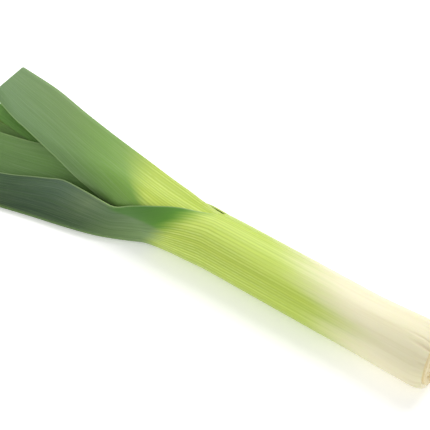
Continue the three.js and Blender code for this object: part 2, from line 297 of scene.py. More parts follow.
def smoothValue(xs, ys, x):
    # shape-preserving cubic through the stations
    last = len(xs) - 1
    at = min(max(x, xs[0]), xs[last])
    k = 0
    while k < last - 1 and at >= xs[k + 1]:
        k += 1
    secants = [(ys[i + 1] - ys[i]) / (xs[i + 1] - xs[i]) for i in range(last)]

    def slope(i):
        if i == 0 or i == last:
            return secants[0 if i == 0 else -1]
        d0, d1 = secants[i - 1], secants[i]
        if d0 * d1 <= 0:
            return 0
        h0, h1 = xs[i] - xs[i - 1], xs[i + 1] - xs[i]
        return 3 * (h0 + h1) / ((2 * h1 + h0) / d0 + (h1 + 2 * h0) / d1)

    h = xs[k + 1] - xs[k]
    t = (at - xs[k]) / h
    start = (2 * t ** 3 - 3 * t ** 2 + 1) * ys[k] + (t ** 3 - 2 * t ** 2 + t) * h * slope(k)
    return start + (3 * t ** 2 - 2 * t ** 3) * ys[k + 1] + (t ** 3 - t ** 2) * h * slope(k + 1)


def smoothStep(low, high, x):
    t = np.clip((x - low) / (high - low), 0, 1)
    return t * t * (3 - 2 * t)


def riseAndFall(run, x):
    # 0, then 1 between the run's second and third place, then 0 again
    return float(smoothStep(run[0], run[1], x) * (1 - smoothStep(run[2], run[3], x)))


def sheathRings():
    # nested rings (radius, centre, keel side), thicker on the keel side, which alternates
    rings = {}
    radius, centre = leek["shaftRadius"], 0
    keelStep = leek["keelWall"] + leek["sheathGap"]
    marginStep = leek["marginWall"] + leek["sheathGap"]
    for i, name in enumerate(leaves):
        side = -1 if i % 2 == 0 else 1
        rings[name] = (radius, centre, side)
        low = centre - radius + (keelStep if side < 0 else marginStep)
        high = centre + radius - (marginStep if side < 0 else keelStep)
        radius, centre = (high - low) / 2, (high + low) / 2
    return rings


def leafStations(plan, ring):
    # the leaf lies on its own ring from the root to where it starts to open, then follows its stations
    radius, centre, side = ring
    first = plan["stations"][0]
    fold = min(first[3], radius * leek["foldShare"])
    begin = (0, first[0] - leek["openingRun"])
    return [(s, centre + side * radius, 0, fold, centre, 0, radius) for s in begin] + plan["stations"]


def leafSection(stations, s):
    # the two circles that the blade is bent round, and the lengths of the outline's pieces
    xs = [row[0] for row in stations]
    keelP, keelN, fold, bodyP, bodyN, radius = [
        smoothValue(xs, [row[i] for row in stations], s) for i in range(1, 7)]
    keel, body = np.array([keelP, keelN]), np.array([bodyP, bodyN])
    inward = (body - keel) / np.linalg.norm(body - keel)
    foldCentre = keel + inward * fold
    reach = float((body - foldCentre) @ inward)
    ratio = (radius - fold) / max(reach, 1e-6)
    if ratio >= 1:
        foldCentre = body + inward * (fold - radius)
    turn = math.acos(min(max(ratio, -1), 1))
    flat = math.sqrt(max(reach ** 2 - (radius - fold) ** 2, 0))
    half = fold * turn + flat + radius * (math.pi - turn)
    return {"foldCentre": foldCentre, "body": body, "fold": fold, "radius": radius, "inward": inward,
            "turn": turn, "flat": flat, "half": half}


def outlinePoints(section, sense, lengths):
    # points and outward directions at these lengths from the keel
    fold, radius, turn, flat = section["fold"], section["radius"], section["turn"], section["flat"]
    bend = fold * turn
    onFold = lengths < bend
    onFlat = (lengths >= bend) & (lengths < bend + flat)
    past = np.where(onFlat, turn, turn + (lengths - bend - flat) / radius)
    angle = np.where(onFold, lengths / fold, past)
    outP, outN = -section["inward"]
    cos, sin = np.cos(sense * angle), np.sin(sense * angle)
    normals = np.stack([outP * cos - outN * sin, outP * sin + outN * cos], -1)
    tangents = np.stack([-normals[:, 1], normals[:, 0]], -1) * np.reshape(sense, (-1, 1))
    slide = np.where(onFlat, lengths - bend, 0)[:, None]
    onBody = (~onFold & ~onFlat)[:, None]
    centre = np.where(onBody, section["body"], section["foldCentre"])
    size = np.where(onBody, radius, fold)
    return centre + normals * size + tangents * slide, normals


def leafWidths(plan, stations, s, section):
    # from the keel to the front and back margins: a closed half up to the throat, and never more than that
    if s <= plan["throat"]:
        return [section["half"], section["half"]]
    rows = [row for row in stations if row[0] > plan["throat"]]
    closed = leafSection(stations, plan["throat"])["half"]
    xs = [plan["throat"]] + [row[0] for row in rows]
    widths = [smoothValue(xs, [closed] + [row[i] for row in rows], s) for i in (7, 8)]
    return [min(width, section["half"]) for width in widths]


def wallThickness(plan, s, across):
    # thickest at the keel, and thinner past the throat
    bladed = float(smoothStep(plan["throat"] - leek["thinBefore"], plan["throat"] + leek["thinAfter"], s))
    keel = leek["keelWall"] + (plan["bladeKeel"] - leek["keelWall"]) * bladed
    margin = leek["marginWall"] + (leek["bladeMargin"] - leek["marginWall"]) * bladed
    return margin + (keel - margin) * (1 + np.cos(np.pi * across)) / 2


def veinWidths(plan, distances, widths):
    # the width that the veins spread over: the closed half at the throat, then easing to the blade's own
    closed = widths[np.searchsorted(distances, plan["throat"]) - 1]
    eased = smoothStep(plan["throat"], plan["throat"] + relief["veinBlend"], distances)[:, None]
    return np.maximum(widths, closed + (widths - closed) * eased)


def rowDistances(plan):
    # rows stand closest where the sheath opens, then where it draws in at the root
    throat = plan["throat"]
    spacing = (     # share of the rows, and the distance from the root that they reach
        (0, plan["start"]), (0.1, 22), (0.38, throat - 12), (0.6, throat + 18), (0.82, throat + 70),
        (1, leek["trim"]))
    return np.interp(np.arange(plan["rows"] + 1) / plan["rows"], *zip(*spacing))


def place(s, p, n):
    # fan coordinates to the leek's frame, with the root's taper, swelling and slanting cut
    tilt, toward = math.radians(leek["fanTilt"]), math.radians(leek["slantToward"])
    shrink = 1 - leek["taperShare"] * max(1 - s / leek["taperRun"], 0) ** leek["taperPower"]
    grow = 1 + leek["swellShare"] * (1 - float(smoothStep(leek["swellFull"], leek["swellGone"], s)))
    y = grow * shrink * (p * math.cos(tilt) - n * math.sin(tilt))
    z = grow * (leek["axisHeight"] + shrink * (p * math.sin(tilt) + n * math.cos(tilt)))
    slant = leek["slantSlope"] * (y * math.cos(toward) + (z - leek["axisHeight"]) * math.sin(toward))
    x = leek["rootX"] - s + slant * (1 - float(smoothStep(0, leek["slantGone"], s)))
    return np.stack([x, y, np.maximum(z, leek["floorGap"])], -1)


def leafDraws(seed):
    draw = random.Random(seed)
    creases = []
    for i in range(relief["creases"]):
        scatter = draw.uniform(-relief["creaseScatter"], relief["creaseScatter"])
        creases.append({
            "turn": 2 * math.pi * (i + scatter) / relief["creases"],
            "depth": draw.uniform(*relief["creaseDepth"]),
            "width": draw.uniform(*relief["creaseWidth"]),
            "run": draw.uniform(*relief["creaseRun"]),
        })
    return {
        "ribs": np.array([draw.uniform(*relief["ribStrength"]) for _ in range(relief["ribStrengths"])]),
        "waves": [
            (turns, draw.uniform(0, 2 * math.pi), draw.uniform(-relief["waveDrift"], relief["waveDrift"]))
            for turns in relief["waveTurns"]],
        "creases": creases,
    }


def veinRelief(ring, turn, draws):
    # each vein stands out to its own strength, at slightly uneven spacing
    ribs = round(math.pi * ring[0] / relief["ribSpacing"])
    phase = ribs * turn / math.pi + relief["veinSway"] * np.sin(relief["veinSwayTurns"] * turn)
    strength = draws["ribs"][(np.floor(phase).astype(int)) % relief["ribStrengths"]]
    return strength * np.sin(np.pi * phase) ** 2


def veinHeight(plan, s, toMargin):
    # how far the veins stand out along the leaf and across it
    throat = plan["throat"]
    bladed = float(smoothStep(throat - relief["bladeRibFrom"], throat + relief["bladeRibFull"], s))
    height = relief["sheathRib"] + (relief["bladeRib"] - relief["sheathRib"]) * bladed
    height *= relief["rootRib"] + (1 - relief["rootRib"]) * float(smoothStep(*relief["rootRibRun"], s))
    return height * smoothStep(0, relief["marginRib"], toMargin + relief["marginRib"] * (s < throat))


def creaseRelief(ring, s, turn, draws):
    crease = np.zeros_like(turn)
    for one in draws["creases"]:
        away = np.abs((turn - one["turn"] + math.pi) % (2 * math.pi) - math.pi) * ring[0]
        along = max(1 - s / one["run"], 0) ** relief["creasePower"]
        crease += one["depth"] * np.exp(-(away / one["width"]) ** 2) * along
    return crease


def slowRelief(plan, s, across, turn, draws, isOuter):
    # the long waviness of the shaft, and the outer leaf's margins: drawn in at the throat, and the front
    # one turned out past its kink
    waves = sum(
        1 / turns * np.sin(turns * turn + start + s * drift) for turns, start, drift in draws["waves"])
    waves = waves * (1 - float(smoothStep(plan["throat"] - relief["waveGone"], plan["throat"], s)))
    turnedOut = smoothStep(*relief["curlAcross"], across)
    curl = relief["curlHeight"] * riseAndFall(relief["curlRun"], s) * turnedOut
    drawnIn = smoothStep(*relief["hugAcross"], np.abs(across))
    hug = relief["hugDepth"] * riseAndFall(relief["hugRun"], s) * drawnIn
    return relief["unevenness"] * waves + (curl - hug) * isOuter


def leafRows(name, ring, seed):
    # the leaf's outer face, row by row from the root, each from the back margin to the front one: places,
    # wall thickness and, for the skin's pattern, grain (the place round the shaft and along it) and marks
    # (the distances from keel and margin and the depth of a crease), all in millimetres
    plan = leaves[name]
    isOuter = name == "leaf_1"
    stations = leafStations(plan, ring)
    draws = leafDraws(seed)
    across = (np.arange(plan["columns"] + 1) / plan["columns"]) * 2 - 1  # the keel is at 0
    isBack = across < 0
    sense = ring[2] * np.where(isBack, -1, 1)
    distances = rowDistances(plan)
    sections = [leafSection(stations, s) for s in distances]
    widths = np.array([leafWidths(plan, stations, s, section) for s, section in zip(distances, sections)])
    rows = []
    for s, section, (front, back), spreads in zip(
            distances, sections, widths, veinWidths(plan, distances, widths)):
        width = np.where(isBack, back, front)
        spread = np.where(isBack, spreads[1], spreads[0])
        # columns follow the veins from the keel out, and crowd only towards a margin that cuts across them
        lengths = spread * (np.abs(across) - (1 - width / spread) * np.abs(across) ** 3)
        turn = np.pi * np.sign(across) * lengths / spread
        points, normals = outlinePoints(section, sense, lengths)
        crease = creaseRelief(ring, s, turn, draws) * isOuter
        veins = veinHeight(plan, s, width - lengths) * veinRelief(ring, turn, draws)
        height = veins - crease + slowRelief(plan, s, across, turn, draws, isOuter)
        points = points + normals * height[:, None]
        if s <= plan["throat"]:
            points[-1] = points[0] = (points[0] + points[-1]) / 2
        rows.append({
            "places": place(s, points[:, 0], points[:, 1]),
            "grain": np.stack([ring[0] * np.cos(turn), ring[0] * np.sin(turn), np.full_like(turn, s)], -1),
            "marks": np.stack([lengths, width - lengths, crease], -1),
            "walls": wallThickness(plan, s, across),
        })
    return distances, {key: np.array([row[key] for row in rows]) for key in rows[0]}


def selectNone(kind):
    # leaves the active object ready for picking single vertices or faces
    bpy.ops.object.mode_set(mode='EDIT')
    bpy.ops.mesh.select_mode(type=kind)
    bpy.ops.mesh.select_all(action='DESELECT')
    bpy.ops.object.mode_set(mode='OBJECT')


def closeSeam(leaf, seam):
    # the two columns of the sheath's seam are selected and merged, and nothing else
    selectNone('VERT')
    leaf.data.vertices.foreach_set("select", seam)
    bpy.ops.object.mode_set(mode='EDIT')
    bpy.ops.mesh.remove_doubles(threshold=leek["seamGap"] * mm)
    bpy.ops.object.mode_set(mode='OBJECT')


def giveWall(leaf, weights):
    # thickness inwards, with the flesh material on the rim and the inner skin inside
    group = leaf.vertex_groups.new(name="wall")
    for i, weight in enumerate(weights):
        group.add([i], float(weight), 'REPLACE')
    wall = leaf.modifiers.new("wall", 'SOLIDIFY')
    wall.thickness = leek["keelWall"] * mm
    wall.offset = -1
    wall.vertex_group = "wall"
    wall.material_offset_rim = 1
    wall.material_offset = 2


def buildLeaf(name, ring, seed, materials):
    plan = leaves[name]
    rows, columns = plan["rows"], plan["columns"]
    bpy.ops.object.select_all(action='DESELECT')
    bpy.ops.mesh.primitive_grid_add(x_subdivisions=columns, y_subdivisions=rows, size=1, calc_uvs=True)
    leaf = bpy.context.object
    leaf.name = name + "_skin"
    mesh = leaf.data
    for material in materials:
        mesh.materials.append(material)
    flat = np.empty(len(mesh.vertices) * 3)
    mesh.vertices.foreach_get("co", flat)
    column, row = np.round((flat.reshape(-1, 3)[:, :2].T + 0.5) * [[columns], [rows]]).astype(int)
    distances, values = leafRows(name, ring, seed)
    mesh.vertices.foreach_set("co", (values["places"][row, column] * mm).ravel())
    if ring[2] > 0:
        mesh.flip_normals()
    for key in ("grain", "marks"):
        attribute = mesh.attributes.new(key, 'FLOAT_VECTOR', 'POINT')
        attribute.data.foreach_set("vector", values[key][row, column].ravel())
    giveWall(leaf, values["walls"][row, column] / leek["keelWall"])
    closeSeam(leaf, ((column == 0) | (column == columns)) & (distances[row] <= plan["throat"]))
    bpy.ops.object.modifier_apply(modifier="wall")
    bpy.ops.object.shade_smooth_by_angle(angle=math.radians(leek["smoothBelow"]))
    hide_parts(name)
    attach(leaf, "root")
    print(leaf.name, "faces", len(leaf.data.polygons))


# A leek's skin is waxy: satin on the blanched sheath, dull and bluish where bloom lies on the blade. Color
# runs from cream at the root through yellow-green to grey-green. Distances are from the root in mm:
# "white" is the line where yellow-green starts, at the keel and at the margins; "tongue" a lobe of it on
# the front: its distance from the keel, half its width and how far it moves the line; "green" the line
# where the blade's green starts: its place at the keel, how fast it falls back to the front and back
# margins, the power that bows it, and where it stops; "greenRun" how softly it starts at margin and keel;
# "veins" and "streaks" how strongly they show; "keel" and "margin" the blade's colors by the distance past
# that line, where a leaf with no "margin" is as green there as at its keel.
# On leaf_1, leaf_2 and leaf_3 the keel and margin ramps also carry painted light and shade across the
# blade.
innerSkin = {"white": (60, 100), "whiteRun": 60, "tongue": (20, 9, 0), "veins": 0.6, "streaks": 0.1}
skins = {
    "leaf_1": {
        "white": (55, 104), "whiteRun": 68, "tongue": (24, 8, -15), "veins": 1.0, "streaks": 0.45,
        "green": (203, 0.25, 0.04, 1.25, 174), "greenRun": (20, 16), "rim": "A9C585",
        # painted light and shade across this blade: the margin side is lighter where the blade faces the
        # key light, and the keel side and the far blade are darker as painted shade where they face down
        # and away from it; the rest is the blade's own dark glaucous green
        "keel": (
            (0, "7F9C60"), (30, "637E4A"), (50, "415A37"), (75, "354C31"), (92, "2D442B"), (112, "30442A")),
        "margin": (
            (0, "5A8A30"), (24, "6A875A"), (40, "67825A"), (58, "7A9067"), (80, "5F775E"), (118, "3F5A3D")),
    },
    "leaf_2": {
        **innerSkin, "green": (236, 0.0225, 0.0225, 2.0, 180), "greenRun": (6, 40), "rim": "9CBC78",
        # painted light and shade across this blade: the keel side is lighter as a painted highlight along
        # the rounded keel, and the margin side is darker as painted shade; under that both are the blade's
        # own green
        "keel": ((0, "84A74A"), (30, "7AA04C"), (70, "779558"), (120, "749160")),
        "margin": ((0, "7AAC46"), (24, "6D9640"), (60, "688A4F"), (120, "6D8C5D")),
    },
    "leaf_3": {
        **innerSkin, "green": (224, 0.01, 0.01, 2.0, 190), "greenRun": (20, 40), "rim": "9DBD78",
        # the keel side is darker: partly the blade's own deeper green, partly painted shade where it lies
        # under leaf_1's margin
        "keel": ((0, "5B8635"), (50, "5A7F3D"), (100, "618249")),
        "margin": ((0, "6B9B3D"), (50, "6A9347"), (100, "729654")),
    },
    "leaf_4": {
        # its rim is no paler than its blade: painted shade, where its margin lies in the shadow along
        # leaf_2's margin
        **innerSkin, "green": (260, 0.01, 0.01, 2.0, 220), "greenRun": (20, 40), "rim": "70994A",
        "keel": ((0, "6BA03E"), (50, "699F3D"), (100, "6FA04A")),
    },
    "leaf_5": {
        **innerSkin, "green": (275, 0.01, 0.01, 2.0, 240), "greenRun": (20, 40), "rim": "97B862",
        "keel": ((0, "7FA44C"), (60, "6E944A")),
    },
    "leaf_6": {
        **innerSkin, "green": (290, 0.01, 0.01, 2.0, 250), "greenRun": (20, 50), "rim": "A9C66F",
        "keel": ((0, "9CBB5C"), (60, "8AAD58")),
    },
}
skinTones = {
    "cream": "EFE9C6", "creamLow": "E7E0BD", "creamStreak": "D8CFA2", "creaseTan": "C4B088",
    "shaft": (  # keel to margin
        (0, "B0C440"), (12, "BDD14F"), (24, "C6D95F"), (34, "D4E772"), (60, "BACF52")),
    "veinLight": "D8EA8C", "veinDark": "93AE40", "bloomStreak": "B9CDA4", "greenStreak": "3E5E30",
    "keelEdge": "6C9138", "rootFlesh": "F7F1DC", "throatFlesh": "D8E886", "fleshSpeck": "BDD14F",
    "innerPale": "E6F0B0", "fresh": ((0, "5E9A24"), (12, "558A2B"), (24, "4F8030")),
}
skinMarks = {   # the measure's value where a mark starts and where it is full, the most it covers, its rise
    "cream": (6, 40, 1, 'LINEAR'),      # duller at the very root
    "creamStreak": (0.55, 0.35, 0.25, 'LINEAR'),
    "shaftStreak": (0.35, 0.75, 0.35, 'SMOOTHSTEP'),
    "veinLight": (0.35, 0.95, 0.55, 'SMOOTHSTEP'),
    "veinDark": (0.25, 0, 0.4, 'SMOOTHSTEP'),
    "bloomStreak": (0.45, 0.8, 0.16, 'LINEAR'),
    "greenStreak": (0.5, 0.35, 1, 'LINEAR'),
    "keelEdge": (3, 1, 0.45, 'LINEAR'),
    "freshStrip": (19.5, 22.5, 1, 'SMOOTHSTEP'),
    "rim": (1, 0.2, 0.5, 'LINEAR'),
    "creaseTan": (0.05, 0.6, 0.7, 'LINEAR'),
    "fleshSpeck": (0.45, 0.75, 0.2, 'LINEAR'),
}
skinBlend = {   # lengths in millimetres
    "keelSide": 0.9,            # keel side and margin side meet over this share of the ring
    "wander": (22, 26, 24),     # color lines stray with streaks and patches, less their mean
    "greenWander": 0.35,        # the green line by this share of that
    "shaftReach": 60,           # the shaft's colors reach this far round from the keel
    "bladeReach": 130,          # and the blade's this far past the green line
    "patchSide": 0.6,           # patches of the keel's color on the margin's side
    "veinOwn": 0.6,             # veins differ in strength by this much
    "veinBreaks": (0.35, 0.65, 0.55, 1.25),     # the noise that breaks them, and their strength by it
    "veinRun": (-20, 110, 1.2),     # they show from here to here past the white line, up to this
    "freshRun": (238, 228, 0.85),   # the outer leaf's strip without bloom ends at the kink
    "innerPale": 0.6,           # how pale the inside of a sheath is
    "innerGreen": 0.5,          # and how much of that the green takes away
    "openRun": (-5, 10),        # the rim shows from about the throat on
    "fleshRun": (20, 80, 8, 45),    # flesh turns pale green from root to shaft, and green past the throat
    "speckSize": 0.9,
}
skinWax = {
    "satin": 0.28,              # roughness of the wax, to which the streaks add
    "streakDull": 0.16,
    "bloomDull": (-20, 40, 0.13),   # and the bloom, from here to here past the green line, up to this
    "refraction": 1.36,
    "cellStrength": 0.25,       # the skin's cells, raised this far
    "cellDepth": 0.2,
    "fleshRoughness": 0.35,
    "skinGlow": 0.15,           # light goes 2 mm into the tissue, green furthest
    "fleshGlow": 0.2,
    "glow": {"Subsurface Radius": (0.7, 1.0, 0.3), "Subsurface Scale": 2 * mm},
}
# Noise of plant tissue, drawn out along the leaf: width and length in millimetres, and detail
tissue = {"streak": (2, 100, 3.0), "fine": (0.6, 33, 3.0), "patch": (14, 56, 3.0), "cells": (0.33, 4, 4.0)}
tissueRoughness = 0.6


def fillRamp(color, stops, reach):
    # the stops of a color ramp at their distances, its far end standing for the reach
    parts = color.node.color_ramp.elements
    while len(parts) < len(stops):
        parts.new(1.0)
    for part, (distance, text) in zip(parts, stops):
        part.position = distance / reach
        part.color = linearColor(text)


def layMark(tree, base, measure, mark, color, strength=1, where=None):
    # covers the base with a mark's color, by its measure and no more than its strength and place allow
    start, full, most, rise = mark
    share = addNode(tree, "MapRange", {
        "interpolation_type": rise, "Value": measure, "From Min": start, "From Max": full,
        "To Max": most * strength})
    if where is not None:
        share = addNode(tree, "Math", {"operation": 'MULTIPLY', 0: share, 1: where})
    return addNode(tree, "Mix", {"data_type": 'RGBA', 0: share, 6: base, 7: color}, 2)


def grainPatterns(tree, grain):
    patterns = {}
    for name, (width, length, detail) in tissue.items():
        scaled = addNode(tree, "Mapping", {
            "Vector": grain, "Scale": (1 / width, 1 / width, 1 / length)})
        patterns[name] = addNode(tree, "TexNoise", {
            "Vector": scaled, "Scale": 1.0, "Detail": detail, "Roughness": tissueRoughness})
    return patterns


def leafPlaces(tree, ring):
    # where a point lies on its leaf, with the tissue's patterns there
    grain = addNode(tree, "Attribute", {"attribute_name": "grain"}, "Vector")
    marks = addNode(tree, "Attribute", {"attribute_name": "marks"}, "Vector")
    at = grainPatterns(tree, grain)
    at["cosine"], sine, at["along"] = addNode(tree, "SeparateXYZ", {0: grain}).node.outputs
    at["offKeel"], at["toMargin"], at["crease"] = addNode(tree, "SeparateXYZ", {0: marks}).node.outputs
    at["turn"] = addNode(tree, "Math", {"operation": 'ARCTAN2', 0: sine, 1: at["cosine"]})
    at["isFront"] = addNode(tree, "Math", {"operation": 'GREATER_THAN', 0: at["turn"], 1: 0.0})
    side = skinBlend["keelSide"] * ring[0]
    at["isKeel"] = addNode(tree, "MapRange", {"Value": at["cosine"], "From Min": -side, "From Max": side})
    byStreak, byPatch, middle = skinBlend["wander"]
    drift = addNode(tree, "Math", {"operation": 'MULTIPLY_ADD', 0: at["streak"], 1: byStreak, 2: -middle})
    at["wander"] = addNode(tree, "Math", {
        "operation": 'MULTIPLY_ADD', 0: at["patch"], 1: byPatch, 2: drift})
    return at


def pastWhite(tree, tone, ring, at):
    # how far past the white line, which slants from the keel to the margins and has its tongue
    keelLine, marginLine = tone["white"]
    line = addNode(tree, "Math", {
        "operation": 'MULTIPLY_ADD', 0: at["cosine"], 1: (keelLine - marginLine) / (2 * ring[0]),
        2: (keelLine + marginLine) / 2})
    middle, halfWidth, length = tone["tongue"]
    aside = addNode(tree, "Math", {"operation": 'SUBTRACT', 0: at["offKeel"], 1: middle})
    aside = addNode(tree, "Math", {"operation": 'ABSOLUTE', 0: aside})
    tongue = addNode(tree, "MapRange", {
        "interpolation_type": 'SMOOTHSTEP', "Value": aside, "From Min": halfWidth, "From Max": 0.0,
        "To Max": length})
    line = addNode(tree, "Math", {"operation": 'MULTIPLY_ADD', 0: tongue, 1: at["isFront"], 2: line})
    strayed = addNode(tree, "Math", {"operation": 'ADD', 0: at["along"], 1: at["wander"]})
    return addNode(tree, "Math", {"operation": 'SUBTRACT', 0: strayed, 1: line})


def pastGreen(tree, tone, at):
    # how far past the green line, which falls back towards the margins
    keelLine, frontCurve, backCurve, bow, stop = tone["green"]
    curve = addNode(tree, "Math", {
        "operation": 'MULTIPLY_ADD', 0: at["isFront"], 1: frontCurve - backCurve, 2: backCurve})
    powered = addNode(tree, "Math", {"operation": 'POWER', 0: at["offKeel"], 1: bow})
    bowed = addNode(tree, "Math", {"operation": 'MULTIPLY_ADD', 0: powered, 1: curve, 2: -keelLine})
    bowed = addNode(tree, "Math", {"operation": 'MINIMUM', 0: bowed, 1: -stop})
    past = addNode(tree, "Math", {"operation": 'ADD', 0: at["along"], 1: bowed})
    return addNode(tree, "Math", {
        "operation": 'MULTIPLY_ADD', 0: at["wander"], 1: skinBlend["greenWander"], 2: past})


def veinLines(tree, turn, ring):
    # the veins where the relief has them, each with its own strength
    swayed = addNode(tree, "Math", {"operation": 'MULTIPLY', 0: turn, 1: relief["veinSwayTurns"]})
    wave = addNode(tree, "Math", {"operation": 'SINE', 0: swayed})
    sway = addNode(tree, "Math", {"operation": 'MULTIPLY', 0: wave, 1: relief["veinSway"]})
    ribs = round(math.pi * ring[0] / relief["ribSpacing"])
    phase = addNode(tree, "Math", {"operation": 'MULTIPLY_ADD', 0: turn, 1: ribs / math.pi, 2: sway})
    angle = addNode(tree, "Math", {"operation": 'MULTIPLY', 0: phase, 1: 2 * math.pi})
    cosine = addNode(tree, "Math", {"operation": 'COSINE', 0: angle})
    ridge = addNode(tree, "Math", {"operation": 'MULTIPLY_ADD', 0: cosine, 1: -0.5, 2: 0.5})
    number = addNode(tree, "Math", {"operation": 'FLOOR', 0: phase})
    own = addNode(tree, "TexWhiteNoise", {"noise_dimensions": '1D', "W": number}, "Value")
    strength = addNode(tree, "Math", {
        "operation": 'MULTIPLY_ADD', 0: own, 1: skinBlend["veinOwn"], 2: 1 - skinBlend["veinOwn"]})
    return addNode(tree, "Math", {"operation": 'MULTIPLY', 0: ridge, 1: strength})


def sheathColor(tree, tone, at, fromWhite):
    # blanched cream that turns yellow-green, both with faint streaks
    cream = layMark(tree, skinTones["creamLow"], at["along"], skinMarks["cream"], skinTones["cream"])
    cream = layMark(tree, cream, at["streak"], skinMarks["creamStreak"], skinTones["creamStreak"])
    roundShare = addNode(tree, "Math", {
        "operation": 'DIVIDE', 0: at["offKeel"], 1: skinBlend["shaftReach"]})
    shaft = addNode(tree, "ValToRGB", {0: roundShare})
    fillRamp(shaft, skinTones["shaft"], skinBlend["shaftReach"])
    shaft = layMark(tree, shaft, at["streak"], skinMarks["shaftStreak"], skinTones["veinDark"])
    half = tone["whiteRun"] / 2
    return layMark(tree, cream, fromWhite, (-half, half, 1, 'SMOOTHSTEP'), shaft)


def addVeins(tree, color, tone, ring, at, fromWhite):
    # fine pale lines, a little broken, with darker tissue between them, stronger as the shaft turns green
    low, high, weak, strong = skinBlend["veinBreaks"]
    broken = addNode(tree, "MapRange", {
        "Value": at["cells"], "From Min": low, "From Max": high, "To Min": weak, "To Max": strong})
    lines = veinLines(tree, at["turn"], ring)
    vein = addNode(tree, "Math", {"operation": 'MULTIPLY', 0: lines, 1: broken})
    start, full, most = skinBlend["veinRun"]
    shown = addNode(tree, "MapRange", {
        "Value": fromWhite, "From Min": start, "From Max": full, "To Max": most})
    for key in ("veinLight", "veinDark"):
        color = layMark(tree, color, vein, skinMarks[key], skinTones[key], tone["veins"], shown)
    return color


def addFreshStrip(tree, blade, at, pastShare):
    # a strip along the outer leaf's front margin has no bloom, up to the kink where the blade folds over
    start, full, most = skinBlend["freshRun"]
    run = addNode(tree, "MapRange", {
        "interpolation_type": 'SMOOTHSTEP', "Value": at["along"], "From Min": start, "From Max": full,
        "To Max": most})
    where = addNode(tree, "Math", {"operation": 'MULTIPLY', 0: run, 1: at["isFront"]})
    fresh = addNode(tree, "ValToRGB", {0: pastShare})
    fillRamp(fresh, skinTones["fresh"], skinBlend["bladeReach"])
    return layMark(tree, blade, at["offKeel"], skinMarks["freshStrip"], fresh, where=where)


def bladeColor(tree, name, at, fromGreen):
    # the blade's green, fresh at first and then greyer with bloom, which is rubbed off in streaks; its keel
    # and margin ramps also carry painted light and shade across the blade
    tone, reach = skins[name], skinBlend["bladeReach"]
    pastShare = addNode(tree, "Math", {"operation": 'DIVIDE', 0: fromGreen, 1: reach})
    keelSide = addNode(tree, "ValToRGB", {0: pastShare})
    fillRamp(keelSide, tone["keel"], reach)
    marginSide = addNode(tree, "ValToRGB", {0: pastShare})
    fillRamp(marginSide, tone.get("margin", tone["keel"]), reach)
    side = addNode(tree, "Math", {
        "operation": 'MULTIPLY_ADD', 0: at["patch"], 1: skinBlend["patchSide"], 2: at["isKeel"]})
    blade = layMark(tree, marginSide, side, (0, 1 + skinBlend["patchSide"] / 2, 1, 'LINEAR'), keelSide)
    blade = layMark(tree, blade, at["fine"], skinMarks["bloomStreak"], skinTones["bloomStreak"])
    blade = layMark(
        tree, blade, at["streak"], skinMarks["greenStreak"], skinTones["greenStreak"], tone["streaks"])
    blade = layMark(tree, blade, at["offKeel"], skinMarks["keelEdge"], skinTones["keelEdge"])
    return addFreshStrip(tree, blade, at, pastShare) if name == "leaf_1" else blade


def greenShare(tree, tone, at, fromGreen):
    # how green the skin is already, over a run that differs from keel to margin
    marginRun, keelRun = tone["greenRun"]
    run = addNode(tree, "Math", {
        "operation": 'MULTIPLY_ADD', 0: at["isKeel"], 1: keelRun - marginRun, 2: marginRun})
    turned = addNode(tree, "Math", {"operation": 'DIVIDE', 0: fromGreen, 1: run})
    return addNode(tree, "MapRange", {
        "interpolation_type": 'SMOOTHSTEP', "Value": turned, "From Min": -0.5, "From Max": 0.5})


def edgeColor(tree, color, name, at):
    # the thin margin lets light through, and creases at the root turn darker and more tan with their depth
    low, high = (leaves[name]["throat"] + run for run in skinBlend["openRun"])
    opened = addNode(tree, "MapRange", {"Value": at["along"], "From Min": low, "From Max": high})
    color = layMark(tree, color, at["toMargin"], skinMarks["rim"], skins[name]["rim"], where=opened)
    return layMark(tree, color, at["crease"], skinMarks["creaseTan"], skinTones["creaseTan"])


def addWax(tree, shader, at, fromGreen):
    # satin on the shaft, dull with bloom on the blade
    satin = addNode(tree, "Math", {
        "operation": 'MULTIPLY_ADD', 0: at["streak"], 1: skinWax["streakDull"], 2: skinWax["satin"]})
    start, full, most = skinWax["bloomDull"]
    dull = addNode(tree, "MapRange", {
        "Value": fromGreen, "From Min": start, "From Max": full, "To Max": most})
    rough = addNode(tree, "Math", {"operation": 'ADD', 0: satin, 1: dull})
    bump = addNode(tree, "Bump", {
        "Height": at["cells"], "Strength": skinWax["cellStrength"], "Distance": skinWax["cellDepth"] * mm})
    setNode(shader, {
        "Roughness": rough, "IOR": skinWax["refraction"], "Normal": bump,
        "Subsurface Weight": skinWax["skinGlow"], **skinWax["glow"]})


def leafMaterial(name, ring, isInner):
    # waxy skin; the inside of a sheath is paler, and past the green line as green as the outside
    material, tree, shader = startMaterial(("inner_skin_" if isInner else "waxy_skin_") + name)
    tone = skins[name]
    at = leafPlaces(tree, ring)
    fromWhite = pastWhite(tree, tone, ring, at)
    fromGreen = pastGreen(tree, tone, at)
    color = sheathColor(tree, tone, at, fromWhite)
    color = addVeins(tree, color, tone, ring, at, fromWhite)
    blade = bladeColor(tree, name, at, fromGreen)
    share = greenShare(tree, tone, at, fromGreen)
    color = addNode(tree, "Mix", {"data_type": 'RGBA', 0: share, 6: color, 7: blade}, 2)
    if isInner:
        pale = addNode(tree, "Math", {
            "operation": 'MULTIPLY_ADD', 0: share, 1: -skinBlend["innerGreen"], 2: skinBlend["innerPale"]})
        color = addNode(tree, "Mix", {
            "data_type": 'RGBA', 0: pale, 6: color, 7: skinTones["innerPale"]}, 2)
    setNode(shader, {"Base Color": edgeColor(tree, color, name, at)})
    addWax(tree, shader, at, fromGreen)
    return material


